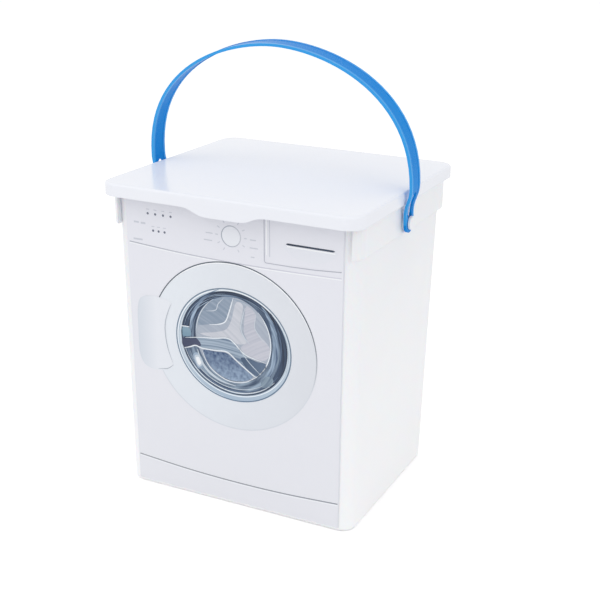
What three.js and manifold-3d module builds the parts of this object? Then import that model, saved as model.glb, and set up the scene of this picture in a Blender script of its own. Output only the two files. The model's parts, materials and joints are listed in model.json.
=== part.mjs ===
// A laundry powder tub: a drafted plastic tub, a lid that lifts off, a strap handle that swings on
// two studs, and a film on the front printed as a plain washing machine.
// Lengths are in millimetres, +Z is up, the origin is the middle of the foot, and the front faces -Y.
import * as THREE from "three";
import { mergeVertices } from "three/addons/utils/BufferGeometryUtils.js";
import Module from "manifold-3d";

const wasm = await Module();
wasm.setup();

// Lid
const LID_WIDTH = 195;
const LID_DEPTH = 185;
const LID_TOP_HEIGHT = 235; // of the crown's middle, above the foot
const LID_CORNER_RADIUS = 13;
const LID_WALL = 1.8;
const LID_CROWN = 0.6; // rise of the middle above the shoulder
const LID_EDGE_RADIUS = 1.8;
const SKIRT_DEPTH = 8.9; // from the shoulder to the skirt's lower edge
const TAB_WIDTH = 66; // finger tab, where it leaves the skirt
const TAB_FLAT = 22; // its lowest stretch
const TAB_DROP = 5;
const PLUG_DEPTH = 6; // the rib that locates the lid in the mouth
const PLUG_WALL = 1.5;
const PLUG_CLEARANCE = 0.5;

// Tub
const BASE_WIDTH = 182;
const BASE_DEPTH = 144.8;
const MOUTH_WIDTH = 185; // outside of the walls at the rim
const MOUTH_DEPTH = 160.8;
const TUB_CORNER_RADIUS = 10.5;
const TUB_WALL = 1.8;
const TUB_FLOOR = 2.4;
const FOOT_RADIUS = 2.5; // rounding round the bottom
const FOOT_BAND = 7; // width of the ring that the tub stands on
const FOOT_RECESS = 1;
const FOOT_RECESS_RADIUS = 5;
const RIM_THICKNESS = 1.8;
const RIM_LIP_DEPTH = 4; // of the rim's turned-down edge
const RIM_LIP_WALL = 1.4;
const RIM_CLEARANCE = 0.6; // from the rim's edge to the inside of the lid's skirt
const COLLAR_HEIGHT = 29.6; // of the stepped-out side bands, from the rim down
const COLLAR_WRAP = 3.6; // how far the bands stand out where they turn the corners
const COLLAR_END = 89; // from the middle plane to where the bands stop, front and back
const COLLAR_EDGE_RADIUS = 1.2;
const POCKET_OVERLAP = 1; // of the bands' pockets with the tub's hollow

// Studs and handle
const PIVOT_HEIGHT = 211.5;
const PIVOT_OFFSET = -5; // from the middle of the tub, towards the front
const STUD_SHOULDER_RADIUS = 5;
const STUD_SHOULDER = 1.5; // how far the shoulder stands off the band
const STUD_NECK_RADIUS = 3.2;
const STUD_HEAD_RADIUS = 4.75;
const STUD_HEAD = 2; // thickness of the head
const STUD_HEAD_EDGE = 0.6;
const STUD_ROOT = 1; // how deep the stud reaches into the band's wall
const EYE_CLEARANCE = 0.35; // on each face and round the neck
const STRAP_WIDTH = 15.6;
const EYE_RADIUS = 7;
const TAPER_HEIGHT = 27; // above the pivot, from where the strap narrows down to its eye
const RAIL_WIDTH = 2;
const RAIL_THICKNESS = 2; // along both edges of the strap, and of its eyes
const WEB_THICKNESS = 1.4;
const EYE_FLAT = 6; // straight stretch above the pivot, before the leg bends out
const BULGE_WIDTH = 204.4; // between the middles of the two legs, where they stand widest
const BULGE_HEIGHT = 27; // above the pivot
const LEG_BEND = 9.5; // handle lengths of the leg's S bend
const LEG_STRAIGHT = 69; // how far the arch leaves the bulge upright
const CROWN_HEIGHT = 116.2; // of the arch's top above the pivot
const CROWN_FLAT = 35; // how far the arch leaves its top level
const KEYHOLE_WIDTH = 6.2;
const KEYHOLE_HEIGHT = 22.5; // of the slot's top above the pivot
const HANDLE_LEAN = 5.2; // degrees that the raised handle leans to the front

// Printed film. Heights run up the wall from the foot's front edge, and drops down from the film's top
const FILM_BOTTOM = 3;
const FILM_TOP = 228;
const FILM_BOTTOM_WIDTH = 163.6;
const FILM_TOP_WIDTH = 165.4;
const FILM_GAP = 0.1;
const FILM_THICKNESS = 0.3;
const PRINT_GAP = 0.05;
const PRINT_THICKNESS = 0.15;
const LINE_WIDTH = 0.7;
const EDGE_MARGIN = 0.5; // from the film's edge to the ends of the lines that cross it
const LINE_BOW = 3.2; // how far the lines across the front sag in the middle
const PLINTH_HEIGHT = 19.2; // of the plinth line's middle
const PANEL_DROP = 39.8; // to the control panel's lower line, in its middle
const DRAWER_LEFT = 25.2; // from the middle of the front
const DRAWER_DROP = 2; // to the top of the drawer's edge
const DRAWER_HEIGHT = 33.6;
const DRAWER_RADIUS = 4;
const GRIP_LENGTH = 35.2;
const GRIP_INSET = 5.3; // from the film's edge to the drawer grip's end
const GRIP_DROP = 20.8;
const GRIP_THICKNESS = 1.5;
const KNOB_DROP = 21.5;
const KNOB_RADIUS = 7.6;
const DOT_RADIUS = 0.9;
const UPPER_DOTS = { count: 4, inset: 16.5, pitch: 6.15, drop: 14.4 };
const LOWER_DOTS = { count: 3, inset: 20.3, pitch: 4.65, drop: 26.3 };
const DOOR = { height: 125.2, halfWidth: 65.3, halfHeight: 62.7 };
const DOOR_GRIP = { gap: 1.1, width: 10.9, halfHeight: 27.5, bulge: 3 };
const PORTHOLE = { height: 126.3, halfWidth: 45.4, halfHeight: 43.2 };
const SEAL = { height: 128.2, halfWidth: 41, halfHeight: 38.7 };
const WINDOW = { height: 131.6, halfWidth: 30, halfHeight: 31.7 };
const FIELD_GAP = 0.15; // between neighbouring fields of colour

// Steps of the curves
const CORNER_STEPS = 9;
const FILLET_STEPS = 4;
const CROWN_STEPS = 7;
const ROUND_STEPS = 40;
const ARCH_STEPS = 26;
const CURVE_STEPS = 10;
const SMALL_STEPS = 5; // of small round ends and dots
const SPLINE_STEPS = 3; // between two corners of a smooth outline
const OVERCUT = 1; // how far a cutting body runs past the faces that it cuts
const WELD = 1e-4; // vertices closer than this are one

// Places that follow from the sizes above
const shoulderHeight = LID_TOP_HEIGHT - LID_CROWN;
const seatHeight = shoulderHeight - LID_WALL; // the lid's underside rests on the rim here
const skirtBottom = shoulderHeight - SKIRT_DEPTH;
const rimHalfWidth = LID_WIDTH / 2 - LID_WALL - RIM_CLEARANCE;
const rimHalfDepth = LID_DEPTH / 2 - LID_WALL - RIM_CLEARANCE;
const rimCornerRadius = LID_CORNER_RADIUS - LID_WALL - RIM_CLEARANCE;
const collarBottom = seatHeight - COLLAR_HEIGHT;
const studFace = rimHalfWidth + STUD_SHOULDER;
const eyeMiddle = studFace + EYE_CLEARANCE + RAIL_THICKNESS / 2;
const headFace = eyeMiddle + RAIL_THICKNESS / 2 + EYE_CLEARANCE;
const wallTilt = Math.atan2((MOUTH_DEPTH - BASE_DEPTH) / 2, seatHeight);
const filmEdge = FILM_BOTTOM_WIDTH / 2;

const plastic = (color, roughness) =>
  new THREE.MeshStandardMaterial({ color, roughness, metalness: 0 });
const materials = {
  tub: plastic(0xf1f2f5, 0.4),
  lid: plastic(0xe9edf4, 0.18),
  handle: plastic(0x1e86dc, 0.35),
  film: plastic(0xdfe0ea, 0.35),
  line: plastic(0x7d828f, 0.4),
  paleBlue: plastic(0xafc8dc, 0.35),
  navy: plastic(0x324664, 0.35),
  drum: plastic(0xa9afbf, 0.35),
  pool: plastic(0x5b7595, 0.35),
  highlight: plastic(0xe8edf3, 0.35),
};

/** Half the tub's outside width at a height, with the walls' draft. */
const halfWidthAt = (z) => (BASE_WIDTH + ((MOUTH_WIDTH - BASE_WIDTH) * z) / seatHeight) / 2;

/** Half the tub's outside depth at a height, with the walls' draft. */
const halfDepthAt = (z) => (BASE_DEPTH + ((MOUTH_DEPTH - BASE_DEPTH) * z) / seatHeight) / 2;

/** A level rounded rectangle as a loop of points, anticlockwise from above. */
function roundedLoop(halfWidth, halfDepth, radius, z) {
  const loop = [];
  const corners = [[1, 1], [-1, 1], [-1, -1], [1, -1]];
  corners.forEach(([sideX, sideY], quarter) => {
    for (let step = 0; step <= CORNER_STEPS; step++) {
      const angle = ((quarter + step / CORNER_STEPS) * Math.PI) / 2;
      const x = sideX * (halfWidth - radius) + radius * Math.cos(angle);
      const y = sideY * (halfDepth - radius) + radius * Math.sin(angle);
      loop.push([x, y, z]);
    }
  });
  return loop;
}

/** A loop of the tub's outside at a height, drawn in by an inset. */
function tubLoop(z, inset, wallHeight = z) {
  const radius = TUB_CORNER_RADIUS - inset;
  return roundedLoop(halfWidthAt(wallHeight) - inset, halfDepthAt(wallHeight) - inset, radius, z);
}

/** A closed surface through loops of equal length, with the first and last loops filled in. */
function loft(loops) {
  const count = loops[0].length;
  const index = [];
  for (let ring = 0; ring < loops.length - 1; ring++) {
    for (let i = 0; i < count; i++) {
      const a = ring * count + i;
      const b = ring * count + ((i + 1) % count);
      index.push(a, b, b + count, a, b + count, a + count);
    }
  }
  const last = (loops.length - 1) * count;
  for (let i = 1; i < count - 1; i++) {
    index.push(0, i + 1, i, last, last + i, last + i + 1);
  }
  const geometry = new THREE.BufferGeometry();
  geometry.setAttribute("position", new THREE.Float32BufferAttribute(loops.flat(2), 3));
  geometry.setIndex(index);
  return geometry;
}

/** A three.js geometry as a solid that can be joined and cut. */
function solid(geometry) {
  const bare = new THREE.BufferGeometry();
  bare.setAttribute("position", geometry.getAttribute("position"));
  bare.setIndex(geometry.index);
  const merged = mergeVertices(bare, WELD);
  const vertProperties = new Float32Array(merged.attributes.position.array);
  const triVerts = new Uint32Array(merged.index.array);
  return new wasm.Manifold(new wasm.Mesh({ numProp: 3, vertProperties, triVerts }));
}

/** The named mesh of a joined or cut solid. */
function meshOf(name, body, material) {
  const { vertProperties, triVerts } = body.getMesh();
  const geometry = new THREE.BufferGeometry();
  geometry.setAttribute("position", new THREE.BufferAttribute(vertProperties, 3));
  geometry.setIndex(new THREE.BufferAttribute(triVerts, 1));
  geometry.computeVertexNormals();
  const mesh = new THREE.Mesh(geometry, material);
  mesh.name = name;
  return mesh;
}

/** A box between two corners. */
function boxBetween([x0, y0, z0], [x1, y1, z1]) {
  const geometry = new THREE.BoxGeometry(x1 - x0, y1 - y0, z1 - z0);
  return geometry.translate((x0 + x1) / 2, (y0 + y1) / 2, (z0 + z1) / 2);
}

/** The part of a solid that lies further than a distance from the middle plane, on one side. */
function beyond(body, side, start, reach) {
  const [near, far] = side > 0 ? [start, reach] : [-reach, -start];
  return body.intersect(solid(boxBetween([near, -LID_DEPTH, 0], [far, LID_DEPTH, LID_TOP_HEIGHT])));
}

/** The tub's outside, foot to rim, with its rounded bottom edge and turned-down rim. */
function tubOutside() {
  const loops = [];
  for (let step = 0; step <= FILLET_STEPS; step++) {
    const angle = ((step / FILLET_STEPS) * Math.PI) / 2;
    loops.push(tubLoop(FOOT_RADIUS * (1 - Math.cos(angle)), FOOT_RADIUS * (1 - Math.sin(angle))));
  }
  const rimUnderside = seatHeight - RIM_THICKNESS;
  const rim = (inset, z) =>
    roundedLoop(rimHalfWidth - inset, rimHalfDepth - inset, rimCornerRadius - inset, z);
  loops.push(tubLoop(rimUnderside, 0));
  loops.push(rim(RIM_LIP_WALL, rimUnderside));
  loops.push(rim(RIM_LIP_WALL, seatHeight - RIM_LIP_DEPTH));
  loops.push(rim(0, seatHeight - RIM_LIP_DEPTH));
  loops.push(rim(0, seatHeight));
  return solid(loft(loops));
}

/** The hollow that holds the powder, open at the top. */
function tubHollow() {
  return solid(loft([
    tubLoop(TUB_FLOOR, TUB_WALL),
    tubLoop(seatHeight, TUB_WALL),
    tubLoop(seatHeight + OVERCUT, TUB_WALL, seatHeight),
  ]));
}

/** The shallow recess that leaves a ring for the tub to stand on. */
function footRecess() {
  const inset = FOOT_RADIUS + FOOT_BAND;
  return solid(loft([-OVERCUT, FOOT_RECESS].map((z) =>
    roundedLoop(halfWidthAt(0) - inset, halfDepthAt(0) - inset, FOOT_RECESS_RADIUS, z))));
}

/** A side band's outline, drawn in by an inset, from a height up to another. */
function collarBody(inset, bottom, top, edgeRadius) {
  const halfDepth = halfDepthAt(collarBottom) + COLLAR_WRAP - inset;
  const radius = TUB_CORNER_RADIUS - inset;
  const ring = (z, extra) =>
    roundedLoop(rimHalfWidth - inset - extra, halfDepth - extra, radius - extra, z);
  const loops = [];
  for (let step = 0; step <= FILLET_STEPS; step++) {
    const angle = ((step / FILLET_STEPS) * Math.PI) / 2;
    loops.push(ring(bottom + edgeRadius * (1 - Math.cos(angle)), edgeRadius * (1 - Math.sin(angle))));
  }
  loops.push(ring(top, 0));
  return solid(loft(loops));
}

/** A stud turned about the pivot's axis, from inside the band out to its head. */
function stud(side) {
  const root = rimHalfWidth - STUD_ROOT;
  const headEnd = headFace + STUD_HEAD;
  const profile = [
    [0, root], [STUD_SHOULDER_RADIUS, root], [STUD_SHOULDER_RADIUS, studFace],
    [STUD_NECK_RADIUS, studFace], [STUD_NECK_RADIUS, headFace], [STUD_HEAD_RADIUS, headFace],
    [STUD_HEAD_RADIUS, headEnd - STUD_HEAD_EDGE], [STUD_HEAD_RADIUS - STUD_HEAD_EDGE, headEnd], [0, headEnd],
  ].map(([radius, along]) => new THREE.Vector2(radius, along));
  const geometry = new THREE.LatheGeometry(profile, ROUND_STEPS);
  geometry.rotateZ((-side * Math.PI) / 2);
  return solid(geometry.translate(0, PIVOT_OFFSET, PIVOT_HEIGHT));
}

/** The tub: walls, floor, rim, side bands and studs, moulded in one. */
function buildTub() {
  const band = collarBody(0, collarBottom, seatHeight, COLLAR_EDGE_RADIUS);
  const pocket = collarBody(TUB_WALL, collarBottom + TUB_WALL, seatHeight + OVERCUT, COLLAR_EDGE_RADIUS);
  const pocketStart = halfWidthAt(collarBottom) - TUB_WALL - POCKET_OVERLAP;
  let body = tubOutside();
  for (const side of [-1, 1]) {
    body = body.add(beyond(band, side, COLLAR_END, LID_WIDTH)).add(stud(side));
  }
  body = body.subtract(tubHollow()).subtract(footRecess());
  for (const side of [-1, 1]) {
    body = body.subtract(beyond(pocket, side, pocketStart, LID_WIDTH));
  }
  return meshOf("tub", body, materials.tub);
}

/** The lid's shell: crowned top, rounded edge, skirt, and the rib that enters the mouth. */
function lidShell() {
  const halfWidth = LID_WIDTH / 2;
  const halfDepth = LID_DEPTH / 2;
  const ring = (inset, z) =>
    roundedLoop(halfWidth - inset, halfDepth - inset, LID_CORNER_RADIUS - inset, z);
  const crowned = (inset, share, height) => {
    const radius = (LID_CORNER_RADIUS - inset) * share;
    const z = height + LID_CROWN * (1 - share * share);
    return roundedLoop((halfWidth - inset) * share, (halfDepth - inset) * share, radius, z);
  };
  const shares = Array.from({ length: CROWN_STEPS }, (_, step) => (step + 1) / (CROWN_STEPS + 1));
  const loops = shares.map((share) => crowned(LID_EDGE_RADIUS, share, shoulderHeight));
  for (let step = 0; step <= FILLET_STEPS; step++) {
    const angle = ((step / FILLET_STEPS) * Math.PI) / 2;
    const z = shoulderHeight - LID_EDGE_RADIUS * (1 - Math.cos(angle));
    loops.push(ring(LID_EDGE_RADIUS * (1 - Math.sin(angle)), z));
  }
  loops.push(ring(0, skirtBottom));
  loops.push(ring(LID_WALL, skirtBottom));
  loops.push(ring(LID_WALL, seatHeight));
  const plugHalfWidth = MOUTH_WIDTH / 2 - TUB_WALL - PLUG_CLEARANCE;
  const plugHalfDepth = MOUTH_DEPTH / 2 - TUB_WALL - PLUG_CLEARANCE;
  const plugRadius = TUB_CORNER_RADIUS - TUB_WALL - PLUG_CLEARANCE;
  const plug = (inset, z) => roundedLoop(plugHalfWidth - inset, plugHalfDepth - inset, plugRadius - inset, z);
  loops.push(plug(0, seatHeight));
  loops.push(plug(0, seatHeight - PLUG_DEPTH));
  loops.push(plug(PLUG_WALL, seatHeight - PLUG_DEPTH));
  loops.push(plug(PLUG_WALL, seatHeight));
  const inner = (share) => {
    const z = seatHeight + LID_CROWN * (1 - share * share);
    const radius = (plugRadius - PLUG_WALL) * share;
    return roundedLoop((plugHalfWidth - PLUG_WALL) * share, (plugHalfDepth - PLUG_WALL) * share, radius, z);
  };
  loops.push(...shares.slice().reverse().map(inner));
  return solid(loft(loops.reverse()));
}

/** The finger tab in the middle of the skirt's front edge. */
function fingerTab() {
  const low = skirtBottom - TAB_DROP;
  const high = skirtBottom + LID_WALL;
  const side = TAB_WIDTH / 2;
  const flat = TAB_FLAT / 2;
  const swing = (side - flat) / 2;
  const outline = new THREE.Shape();
  outline.moveTo(-side, high);
  outline.lineTo(-side, skirtBottom);
  outline.bezierCurveTo(-side + swing, skirtBottom, -flat - swing, low, -flat, low);
  outline.lineTo(flat, low);
  outline.bezierCurveTo(flat + swing, low, side - swing, skirtBottom, side, skirtBottom);
  outline.lineTo(side, high);
  const options = { depth: LID_WALL, bevelEnabled: false, curveSegments: CURVE_STEPS };
  const geometry = new THREE.ExtrudeGeometry(outline, options);
  geometry.rotateX(Math.PI / 2);
  return solid(geometry.translate(0, LID_WALL - LID_DEPTH / 2, 0));
}

/** The lid, moulded in one with its finger tab. */
function buildLid() {
  return meshOf("lid", lidShell().add(fingerTab()), materials.lid);
}

/** The middle line of the strap, seen from the front, from the left eye over the top to the right. */
function strapLine() {
  const bulge = BULGE_WIDTH / 2;
  const halves = [1, -1].map((side) => {
    const point = (x, height) => new THREE.Vector2(side * x, height);
    return [
      new THREE.LineCurve(point(eyeMiddle, 0), point(eyeMiddle, EYE_FLAT)),
      new THREE.CubicBezierCurve(point(eyeMiddle, EYE_FLAT), point(eyeMiddle, EYE_FLAT + LEG_BEND),
        point(bulge, BULGE_HEIGHT - LEG_BEND), point(bulge, BULGE_HEIGHT)),
      new THREE.CubicBezierCurve(point(bulge, BULGE_HEIGHT), point(bulge, BULGE_HEIGHT + LEG_STRAIGHT),
        point(CROWN_FLAT, CROWN_HEIGHT), point(0, CROWN_HEIGHT)),
    ];
  });
  const steps = [1, CURVE_STEPS, ARCH_STEPS];
  const sample = (curves) => curves.flatMap((curve, i) => curve.getPoints(steps[i]).slice(i ? 1 : 0));
  const right = sample(halves[0]);
  const left = sample(halves[1]);
  return [...left, ...right.reverse().slice(1)];
}

/** A ribbon of even thickness along the strap's middle line, a little wider than the strap. */
function ribbon(line, thickness) {
  const side = line.map((point, i) => {
    const before = line[Math.max(i - 1, 0)];
    const after = line[Math.min(i + 1, line.length - 1)];
    const along = after.clone().sub(before).normalize();
    return new THREE.Vector2(-along.y, along.x).multiplyScalar(thickness / 2);
  });
  const outer = line.map((point, i) => point.clone().add(side[i]));
  const inner = line.map((point, i) => point.clone().sub(side[i]));
  const outline = new THREE.Shape([...outer, ...inner.reverse()]);
  const width = STRAP_WIDTH + 2 * OVERCUT;
  const geometry = new THREE.ExtrudeGeometry(outline, { depth: width, bevelEnabled: false });
  geometry.rotateX(Math.PI / 2);
  return solid(geometry.translate(0, width / 2, 0));
}

/** A short round bar along X about the pivot's axis, centred on a distance from the middle. */
function pivotDisc(radius, middle, thickness) {
  const geometry = new THREE.CylinderGeometry(radius, radius, thickness, ROUND_STEPS);
  return solid(geometry.rotateZ(Math.PI / 2).translate(middle, 0, 0));
}

/** An outline seen from the side, pushed through along X and centred on a distance from the middle. */
function acrossX(shape, depth, middle) {
  const options = { depth, bevelEnabled: false, curveSegments: CURVE_STEPS };
  const geometry = new THREE.ExtrudeGeometry(shape, options);
  geometry.rotateX(Math.PI / 2).rotateZ(Math.PI / 2);
  return solid(geometry.translate(middle - depth / 2, 0, 0));
}

/** The slot above an eye's hole, with a round top. */
function keyhole(side) {
  const half = KEYHOLE_WIDTH / 2;
  const shape = new THREE.Shape();
  shape.moveTo(-half, 0);
  shape.lineTo(half, 0);
  shape.absarc(0, KEYHOLE_HEIGHT - half, half, 0, Math.PI);
  return acrossX(shape, BULGE_WIDTH - 2 * rimHalfWidth, side * eyeMiddle);
}

/** All that lies within the strap's edges seen from the side, drawn in by an inset. */
function withinEdges(inset) {
  const eye = EYE_RADIUS - inset;
  const strap = STRAP_WIDTH / 2 - inset;
  const top = CROWN_HEIGHT + RAIL_THICKNESS;
  const right = [[eye, -OVERCUT], [eye, 0], [strap, TAPER_HEIGHT], [strap, top]];
  const left = right.map(([across, height]) => [-across, height]).reverse();
  const corners = [...right, ...left].map(([across, height]) => new THREE.Vector2(across, height));
  return acrossX(new THREE.Shape(corners), BULGE_WIDTH + 2 * RAIL_THICKNESS, 0);
}

/** The handle: a strap with raised edges, bent into an arch, with a keyhole eye at each end. */
function buildHandle() {
  const line = strapLine();
  const rails = ribbon(line, RAIL_THICKNESS).subtract(withinEdges(RAIL_WIDTH));
  let body = rails.add(ribbon(line, WEB_THICKNESS)).intersect(withinEdges(0));
  for (const side of [-1, 1]) {
    const middle = side * eyeMiddle;
    body = body.add(pivotDisc(EYE_RADIUS, middle, RAIL_THICKNESS));
    body = body.subtract(keyhole(side));
    body = body.subtract(pivotDisc(STUD_NECK_RADIUS + EYE_CLEARANCE, middle, RAIL_THICKNESS + 2 * OVERCUT));
  }
  const handle = meshOf("handle", body, materials.handle);
  handle.position.set(0, PIVOT_OFFSET, PIVOT_HEIGHT);
  handle.rotation.x = THREE.MathUtils.degToRad(HANDLE_LEAN);
  return handle;
}

/** An ellipse as a closed path. */
function ellipse(Kind, { height, halfWidth, halfHeight }, grow = 0) {
  const path = new Kind();
  path.absellipse(0, height, halfWidth + grow, halfHeight + grow, 0, 2 * Math.PI, false, 0);
  return path;
}

/** The space between two ellipses, the inner one grown by a little or drawn in. */
function ringShape(outer, inner, innerGrow) {
  const shape = ellipse(THREE.Shape, outer);
  shape.holes.push(ellipse(THREE.Path, inner, innerGrow));
  return shape;
}

/** A line across the front that sags in its middle, between two places. */
function bowedLine(halfLength, middleHeight) {
  const ends = middleHeight + LINE_BOW;
  const control = middleHeight - LINE_BOW;
  const shape = new THREE.Shape();
  shape.moveTo(-halfLength, ends);
  shape.quadraticCurveTo(0, control, halfLength, ends);
  shape.lineTo(halfLength, ends + LINE_WIDTH);
  shape.quadraticCurveTo(0, control + LINE_WIDTH, -halfLength, ends + LINE_WIDTH);
  return shape;
}

/** The two lines of the powder drawer's edge, joined by a rounded corner. */
function drawerShape(right) {
  const shape = new THREE.Shape();
  const inside = DRAWER_RADIUS - LINE_WIDTH;
  const top = FILM_TOP - DRAWER_DROP;
  const bottom = top - DRAWER_HEIGHT;
  const centreX = DRAWER_LEFT + DRAWER_RADIUS;
  const centreY = bottom + DRAWER_RADIUS;
  shape.moveTo(DRAWER_LEFT, top);
  shape.lineTo(DRAWER_LEFT, centreY);
  shape.absarc(centreX, centreY, DRAWER_RADIUS, Math.PI, 1.5 * Math.PI);
  shape.lineTo(right, bottom);
  shape.lineTo(right, bottom + LINE_WIDTH);
  shape.lineTo(centreX, bottom + LINE_WIDTH);
  shape.absarc(centreX, centreY, inside, 1.5 * Math.PI, Math.PI, true);
  shape.lineTo(DRAWER_LEFT + LINE_WIDTH, top);
  return shape;
}

/** A rounded bar between two places at a height. */
function barShape(left, right, height, thickness) {
  const radius = thickness / 2;
  const shape = new THREE.Shape();
  shape.moveTo(left + radius, height - radius);
  shape.lineTo(right - radius, height - radius);
  shape.absarc(right - radius, height, radius, -Math.PI / 2, Math.PI / 2);
  shape.lineTo(left + radius, height + radius);
  shape.absarc(left + radius, height, radius, Math.PI / 2, 1.5 * Math.PI);
  return shape;
}

/** The door's grip: a bar with a round outer side that follows the door's edge. */
function doorGripShape() {
  const { gap, width, halfHeight, bulge } = DOOR_GRIP;
  const right = -DOOR.halfWidth - gap;
  const left = right - width;
  const bottom = DOOR.height - halfHeight;
  const top = DOOR.height + halfHeight;
  const shape = new THREE.Shape();
  shape.moveTo(right, bottom);
  shape.quadraticCurveTo(right - 2 * bulge, (bottom + top) / 2, right, top);
  shape.bezierCurveTo(right - bulge, top + bulge, left, top + bulge, left, top - bulge);
  shape.lineTo(left, bottom + bulge);
  shape.bezierCurveTo(left, bottom - bulge, right - bulge, bottom - bulge, right, bottom);
  return shape;
}

/** A closed smooth shape through hand-set corners, each given in shares of the window's half sizes. */
function smoothShape(corners) {
  const [first, ...rest] = [...corners, corners[0]].map(([across, up]) =>
    new THREE.Vector2(across * WINDOW.halfWidth, WINDOW.height + up * WINDOW.halfHeight));
  const shape = new THREE.Shape();
  shape.moveTo(first.x, first.y);
  shape.splineThru(rest);
  return shape;
}

/** The raised edge of the drum's vane, which crosses the window in one long bend. */
function drumBandShape() {
  return smoothShape([[-0.947, -0.145], [-0.477, -0.082], [-0.143, -0.025], [0.187, -0.227],
    [0.507, -0.353], [0.887, -0.36], [0.547, -0.726], [0.293, -0.58], [0.073, -0.435], [-0.16, -0.29],
    [-0.487, -0.303], [-0.94, -0.309]]);
}

/** The blue water line of the window, below the vane. */
function washPoolShape() {
  return smoothShape([[-0.847, -0.41], [-0.48, -0.391], [-0.173, -0.385], [0.067, -0.524],
    [0.473, -0.782], [0.293, -0.896], [-0.053, -0.953], [-0.4, -0.858], [-0.687, -0.625]]);
}

/** One printed field or line of the front, a thin solid in a layer over the film. */
function printed(name, shape, material, curveSegments, layer = 0) {
  const lift = FILM_GAP + FILM_THICKNESS + PRINT_GAP + layer * (PRINT_THICKNESS + PRINT_GAP);
  const options = { depth: PRINT_THICKNESS, bevelEnabled: false, curveSegments };
  const mesh = new THREE.Mesh(new THREE.ExtrudeGeometry(shape, options), material);
  mesh.name = name;
  mesh.position.z = lift;
  return mesh;
}

/** A row of printed indicator dots. */
function dotRow(name, { count, inset, pitch, drop }) {
  return Array.from({ length: count }, (_, i) => {
    const x = inset - filmEdge + i * pitch;
    const shape = new THREE.Shape().absarc(x, FILM_TOP - drop, DOT_RADIUS, 0, 2 * Math.PI);
    return printed(`${name}_${i + 1}`, shape, materials.line, SMALL_STEPS);
  });
}

/** The printed film and its fields of colour, in a group whose XY plane is the front wall. */
function buildFront() {
  const filmShape = new THREE.Shape();
  filmShape.moveTo(-filmEdge, FILM_BOTTOM);
  filmShape.lineTo(filmEdge, FILM_BOTTOM);
  filmShape.lineTo(FILM_TOP_WIDTH / 2, FILM_TOP);
  filmShape.lineTo(-FILM_TOP_WIDTH / 2, FILM_TOP);
  const film = new THREE.Mesh(
    new THREE.ExtrudeGeometry(filmShape, { depth: FILM_THICKNESS, bevelEnabled: false }), materials.film);
  film.name = "front_film";
  film.position.z = FILM_GAP;
  const lineEnd = filmEdge - EDGE_MARGIN;
  const knob = { height: FILM_TOP - KNOB_DROP, halfWidth: KNOB_RADIUS, halfHeight: KNOB_RADIUS };
  const gripEnd = filmEdge - GRIP_INSET;
  const drawerGrip = barShape(gripEnd - GRIP_LENGTH, gripEnd, FILM_TOP - GRIP_DROP, GRIP_THICKNESS);
  const front = new THREE.Group();
  front.add(
    film,
    printed("plinth_line", bowedLine(lineEnd, PLINTH_HEIGHT), materials.line, ROUND_STEPS / 2),
    printed("panel_line", bowedLine(lineEnd, FILM_TOP - PANEL_DROP), materials.line, ROUND_STEPS / 2),
    printed("drawer_outline", drawerShape(lineEnd), materials.line, SMALL_STEPS, 1),
    printed("drawer_grip", drawerGrip, materials.navy, SMALL_STEPS),
    printed("knob_ring", ringShape(knob, knob, -LINE_WIDTH), materials.line, ROUND_STEPS / 2),
    ...dotRow("upper_dot", UPPER_DOTS),
    ...dotRow("lower_dot", LOWER_DOTS),
    printed("door_outline", ringShape(DOOR, DOOR, -LINE_WIDTH), materials.line, ROUND_STEPS),
    printed("door_grip", doorGripShape(), materials.highlight, CURVE_STEPS),
    printed("porthole_rim", ringShape(PORTHOLE, SEAL, FIELD_GAP), materials.paleBlue, ROUND_STEPS),
    printed("porthole_seal", ringShape(SEAL, WINDOW, FIELD_GAP), materials.navy, ROUND_STEPS),
    printed("drum", ellipse(THREE.Shape, WINDOW), materials.drum, ROUND_STEPS),
    printed("drum_band", drumBandShape(), materials.highlight, SPLINE_STEPS, 1),
    printed("wash_pool", washPoolShape(), materials.pool, SPLINE_STEPS, 1),
  );
  front.position.y = -BASE_DEPTH / 2;
  front.rotation.x = Math.PI / 2 + wallTilt;
  return front;
}

const container = new THREE.Group();
container.add(buildTub(), buildLid(), buildHandle(), buildFront());

export default container;
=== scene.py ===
"""Dresses the laundry powder tub: its white mouldings, blue strap handle and printed front."""
import json
import logging
import math
from collections.abc import Callable, Sequence
from dataclasses import dataclass
from enum import Enum

import bmesh
import bpy
from mathutils import Matrix, Vector

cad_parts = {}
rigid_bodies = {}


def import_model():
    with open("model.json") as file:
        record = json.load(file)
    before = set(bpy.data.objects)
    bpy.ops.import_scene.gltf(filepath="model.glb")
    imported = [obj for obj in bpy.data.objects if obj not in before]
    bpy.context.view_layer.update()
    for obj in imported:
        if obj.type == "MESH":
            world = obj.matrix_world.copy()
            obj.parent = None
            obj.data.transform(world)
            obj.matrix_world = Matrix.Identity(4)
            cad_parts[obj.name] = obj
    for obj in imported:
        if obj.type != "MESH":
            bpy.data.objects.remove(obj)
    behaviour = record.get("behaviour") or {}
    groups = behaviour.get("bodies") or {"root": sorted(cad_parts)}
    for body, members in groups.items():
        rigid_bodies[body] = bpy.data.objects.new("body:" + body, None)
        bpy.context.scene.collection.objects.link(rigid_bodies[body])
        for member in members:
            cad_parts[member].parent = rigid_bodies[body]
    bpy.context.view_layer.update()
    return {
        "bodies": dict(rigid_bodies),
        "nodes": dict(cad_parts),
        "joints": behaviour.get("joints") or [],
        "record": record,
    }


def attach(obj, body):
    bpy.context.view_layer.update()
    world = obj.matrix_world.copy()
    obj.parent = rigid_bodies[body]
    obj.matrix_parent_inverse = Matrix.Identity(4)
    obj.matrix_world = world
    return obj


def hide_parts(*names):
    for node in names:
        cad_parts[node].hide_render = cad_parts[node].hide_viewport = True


MM = 0.001
LOG = logging.getLogger("powder_tub")

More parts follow.
